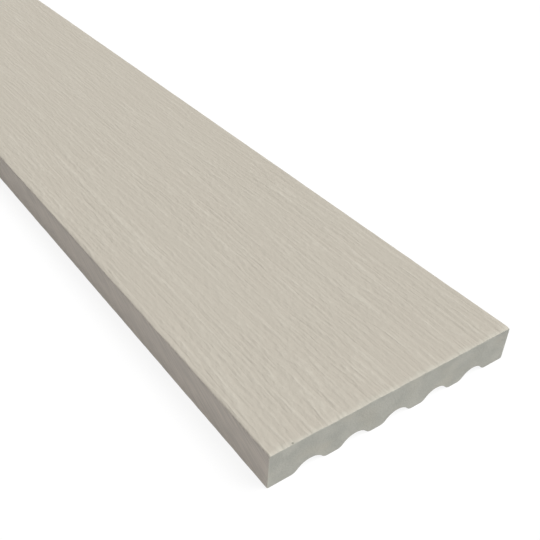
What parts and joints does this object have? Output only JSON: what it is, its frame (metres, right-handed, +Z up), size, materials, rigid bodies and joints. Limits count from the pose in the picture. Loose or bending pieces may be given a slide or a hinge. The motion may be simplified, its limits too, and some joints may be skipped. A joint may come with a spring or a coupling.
{
  "type": "fibre cement trim board",
  "caption": "Long flat trim board with a wood-grain embossed face, square edges and sawn ends, and rounded flutes running the length of its back.",
  "frame": {"origin": "middle of the back, in the plane of the lands between the flutes, which is the plane the board rests on", "axes": "+X along the board, +Y across it towards a long edge, +Z up through the thickness, out of the embossed face"},
  "size_m": [3.6576, 0.1396, 0.0191],
  "materials": {
    "fibre_cement": "matt, wood-grain embossed and primed on the face and edges, bare grey at the ends and back"
  },
  "bodies": {
    "root": {"trim_board": "fibre_cement"}
  },
  "joints": []
}
